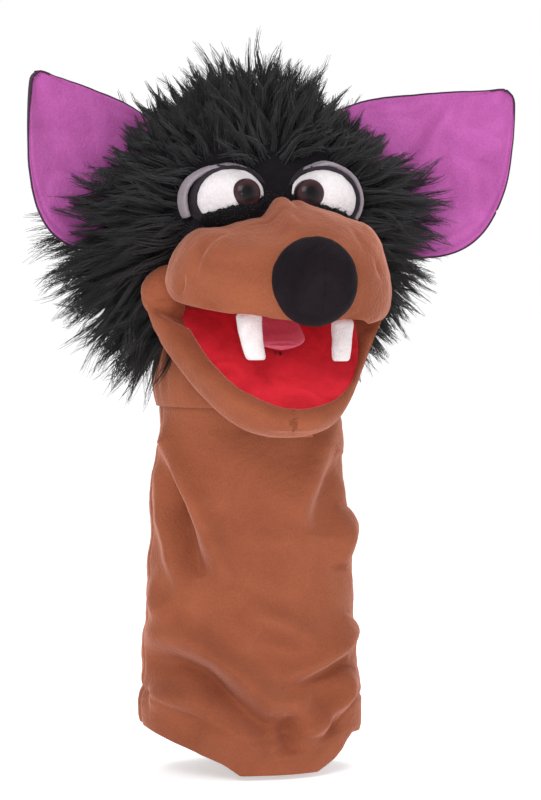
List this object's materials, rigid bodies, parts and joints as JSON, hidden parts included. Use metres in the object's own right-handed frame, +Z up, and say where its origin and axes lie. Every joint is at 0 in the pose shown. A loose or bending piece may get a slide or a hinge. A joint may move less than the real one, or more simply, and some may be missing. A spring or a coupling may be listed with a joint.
{
  "type": "moving mouth hand puppet",
  "caption": "Soft hand puppet of a shaggy creature head on an arm sleeve, with a hand-operated moving mouth, folding fangs, tongue and flapping ears.",
  "frame": {"origin": "centre of the arm opening, in the plane of the sleeve hem", "axes": "+Z up along the sleeve to the head, -Y the way the face looks, +X to the right of someone facing the puppet"},
  "size_m": [0.3464, 0.272, 0.485],
  "materials": {
    "brown_plush": "short plush pile with a soft sheen",
    "black_fur": "long pile faux fur",
    "ear_velour": "magenta purple velour",
    "ear_back": "dark velour on the back of the ears",
    "nose_velour": "black velour",
    "eye_plush": "white short plush",
    "eye_outline": "dark short pile felt",
    "eyelid_plush": "greyish lilac short plush",
    "pupil_gloss": "glossy dark plastic",
    "fang_felt": "off-white felt",
    "tongue_felt": "pink felt",
    "mouth_felt": "red felt",
    "lining_cloth": "thin woven lining",
    "stuffing": "polyester filling",
    "mouth_board": "stiff board",
    "washer_plastic": "moulded plastic"
  },
  "bodies": {
    "sleeve": {"sleeve_front_panel": "brown_plush", "sleeve_back_panel": "brown_plush", "sleeve_hem_facing": "brown_plush"},
    "neck": {"neck_skin": "brown_plush"},
    "collar": {"neck_lining": "lining_cloth"},
    "head": {"skull_padding": "stuffing", "head_fur": "black_fur", "upper_mouth_board": "mouth_board", "upper_mouth_lining": "mouth_felt", "finger_pocket": "lining_cloth", "muzzle_left_panel": "brown_plush", "muzzle_right_panel": "brown_plush", "muzzle_stuffing": "stuffing", "nose_cover": "nose_velour", "nose_stuffing": "stuffing", "eye_white_left": "eye_plush", "eye_outline_left": "eye_outline", "eyelid_left": "eyelid_plush", "pupil_left": "pupil_gloss", "eye_washer_left": "washer_plastic", "eye_white_right": "eye_plush", "eye_outline_right": "eye_outline", "eyelid_right": "eyelid_plush", "pupil_right": "pupil_gloss", "eye_washer_right": "washer_plastic"},
    "jaw": {"lower_mouth_board": "mouth_board", "lower_mouth_lining": "mouth_felt", "jaw_lip_left": "brown_plush", "jaw_lip_right": "brown_plush", "jaw_skin": "brown_plush", "jaw_stuffing": "stuffing", "thumb_pocket": "lining_cloth"},
    "tongue": {"tongue": "tongue_felt"},
    "fang_left": {"fang_left": "fang_felt"},
    "fang_right": {"fang_right": "fang_felt"},
    "ear_left": {"ear_left_front": "ear_velour", "ear_left_padding": "stuffing", "ear_left_back": "ear_back"},
    "ear_right": {"ear_right_front": "ear_velour", "ear_right_padding": "stuffing", "ear_right_back": "ear_back"}
  },
  "joints": [
    {"name": "head_turn", "type": "hinge", "parent": "sleeve", "child": "neck", "pos_m": [0, 0, 0.262], "axis": [0, 0, 1], "range_deg": [-25, 25]},
    {"name": "head_tilt", "type": "hinge", "parent": "neck", "child": "collar", "pos_m": [0, 0, 0.262], "axis": [0, 1, 0], "range_deg": [-12, 12]},
    {"name": "head_nod", "type": "hinge", "parent": "collar", "child": "head", "pos_m": [0, 0, 0.262], "axis": [1, 0, 0], "range_deg": [-18, 12]},
    {"name": "jaw_open", "type": "hinge", "parent": "head", "child": "jaw", "pos_m": [0, -0.045, 0.318], "axis": [1, 0, 0], "range_deg": [-32, 8]},
    {"name": "fang_left_fold", "type": "hinge", "parent": "head", "child": "fang_left", "pos_m": [-0.031, -0.11601, 0.30609], "axis": [1, 0, 0], "range_deg": [-25.1, 100.2]},
    {"name": "fang_right_fold", "type": "hinge", "parent": "head", "child": "fang_right", "pos_m": [0.031, -0.11601, 0.30609], "axis": [1, 0, 0], "range_deg": [-25.1, 100.2]},
    {"name": "tongue_lift", "type": "hinge", "parent": "jaw", "child": "tongue", "pos_m": [0, -0.04356, 0.31042], "axis": [-1, 0, 0], "range_deg": [0, 8]},
    {"name": "ear_left_flap", "type": "hinge", "parent": "head", "child": "ear_left", "pos_m": [-0.09, 0.002, 0.35], "axis": [0, 0, -1], "range_deg": [-15, 15], "stiffness_Nm_per_rad": 0.05},
    {"name": "ear_right_flap", "type": "hinge", "parent": "head", "child": "ear_right", "pos_m": [0.09, 0.002, 0.35], "axis": [0, 0, 1], "range_deg": [-15, 15], "stiffness_Nm_per_rad": 0.05}
  ],
  "couplings": [
    {"joint": "fang_left_fold", "follows": "jaw_open", "ratio": -3.13},
    {"joint": "fang_right_fold", "follows": "jaw_open", "ratio": -3.13}
  ]
}
